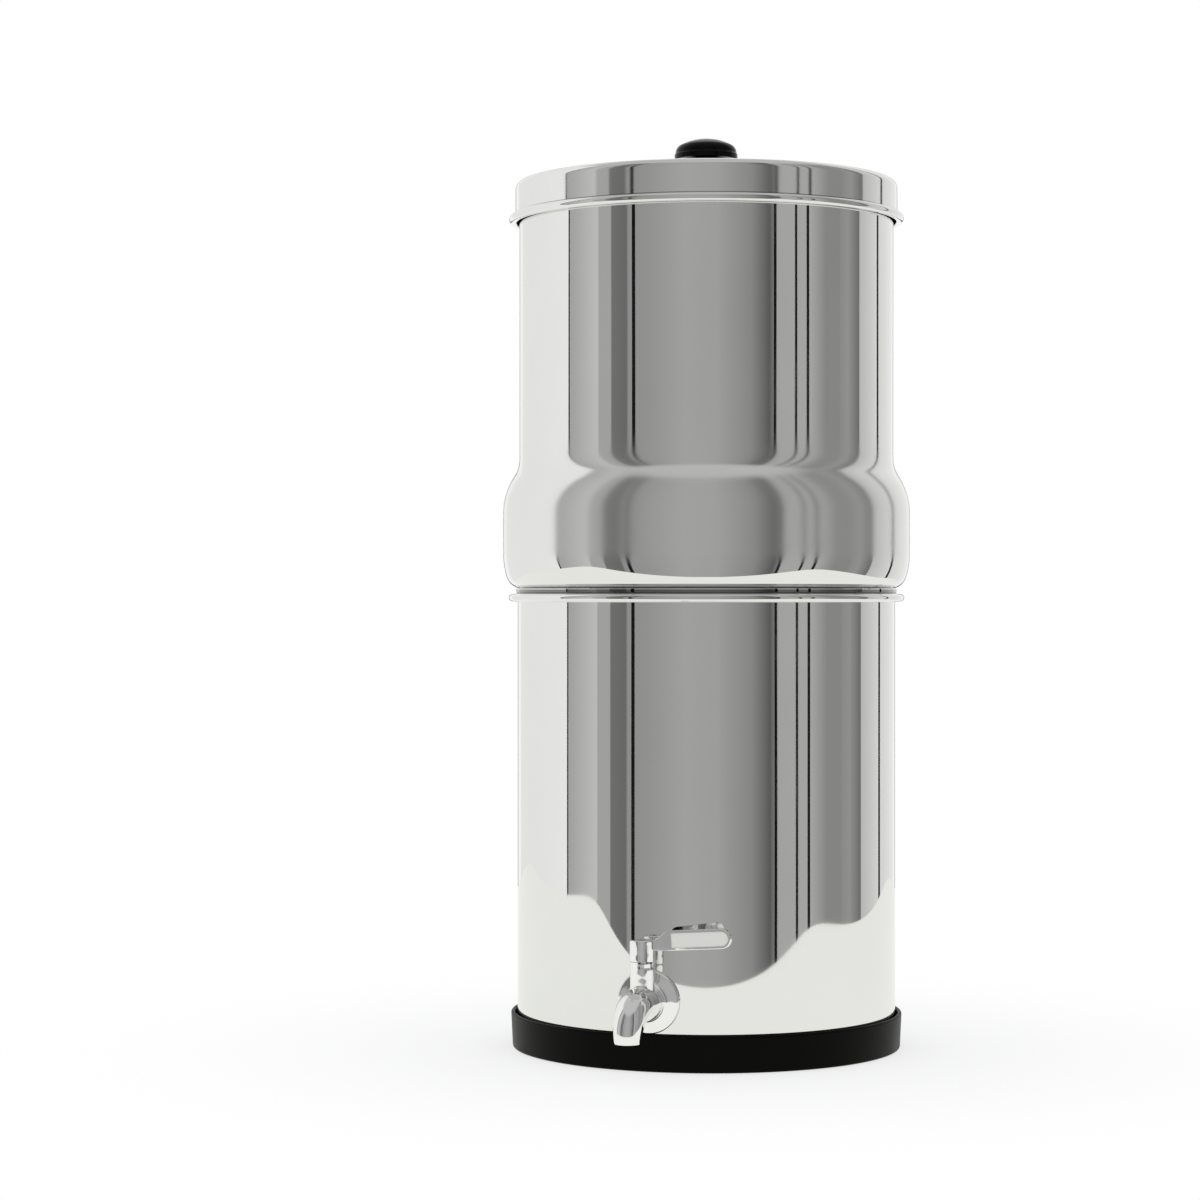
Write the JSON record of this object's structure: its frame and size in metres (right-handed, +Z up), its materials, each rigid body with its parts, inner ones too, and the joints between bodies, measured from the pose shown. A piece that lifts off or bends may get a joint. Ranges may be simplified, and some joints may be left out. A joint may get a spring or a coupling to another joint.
{
  "type": "gravity water filter with tap",
  "caption": "Stacked polished steel chambers with a flared belly, a knobbed lid, filter elements on threaded stems, a rubber base ring and a lever ball tap with a curved spout.",
  "frame": {"origin": "centre of the base ring's underside, on the surface it stands on", "axes": "+Z up along the chambers' axis, -Y towards the tap, +X towards the closed lever's tip"},
  "size_m": [0.245, 0.2835, 0.5464],
  "materials": {
    "polished_steel": "mirror-polished stainless steel sheet",
    "plated_tap": "polished plated casting",
    "plain_steel": "plain machined steel",
    "lever_finish": "polished plated lever with a darker sunk field",
    "black_rubber": "smooth black rubber with a faint sheen",
    "gasket_rubber": "matte black gasket rubber",
    "black_plastic": "fine matte black moulding",
    "knob_black": "glossy black moulding",
    "carbon": "pressed carbon, matte and finely grained",
    "white_seat": "smooth white low-friction plastic"
  },
  "bodies": {
    "vessel": {"lower_chamber": "polished_steel", "base_ring": "black_rubber", "tap_body": "plated_tap", "tap_shank": "plated_tap", "tap_outer_gasket": "gasket_rubber", "tap_inner_gasket": "gasket_rubber", "tap_lock_nut": "plain_steel", "ball_seat_inner": "white_seat", "ball_seat_outer": "white_seat", "stem_gland_nut": "plated_tap"},
    "valve": {"tap_lever": "lever_finish", "lever_screw": "plain_steel", "valve_stem": "plain_steel", "stem_seal_rings": "gasket_rubber", "stem_thrust_washer": "white_seat", "valve_ball": "plated_tap"},
    "upper": {"upper_chamber": "polished_steel", "filter_block_a": "carbon", "filter_cap_a": "black_plastic", "filter_washer_a": "gasket_rubber", "filter_block_b": "carbon", "filter_cap_b": "black_plastic", "filter_washer_b": "gasket_rubber"},
    "wing_nut_left": {"wing_nut_a": "black_plastic"},
    "wing_nut_right": {"wing_nut_b": "black_plastic"},
    "cover": {"lid": "polished_steel", "lid_knob": "knob_black", "knob_washer": "plain_steel", "knob_screw": "plain_steel"}
  },
  "joints": [
    {"name": "lever_turn", "type": "hinge", "parent": "vessel", "child": "valve", "pos_m": [0, -0.1261, 0.0398], "axis": [0, 0, -1], "range_deg": [0, 90]},
    {"name": "upper_chamber_lift", "type": "slide", "parent": "vessel", "child": "upper", "axis": [0, 0, 1], "range_m": [0, 0.08]},
    {"name": "lid_lift", "type": "slide", "parent": "upper", "child": "cover", "axis": [0, 0, 1], "range_m": [0, 0.06]},
    {"name": "wing_nut_left_turn", "type": "hinge", "parent": "upper", "child": "wing_nut_left", "pos_m": [-0.052, 0, 0.244], "axis": [0, 0, 1], "continuous": true},
    {"name": "wing_nut_right_turn", "type": "hinge", "parent": "upper", "child": "wing_nut_right", "pos_m": [0.052, 0, 0.244], "axis": [0, 0, 1], "continuous": true}
  ]
}
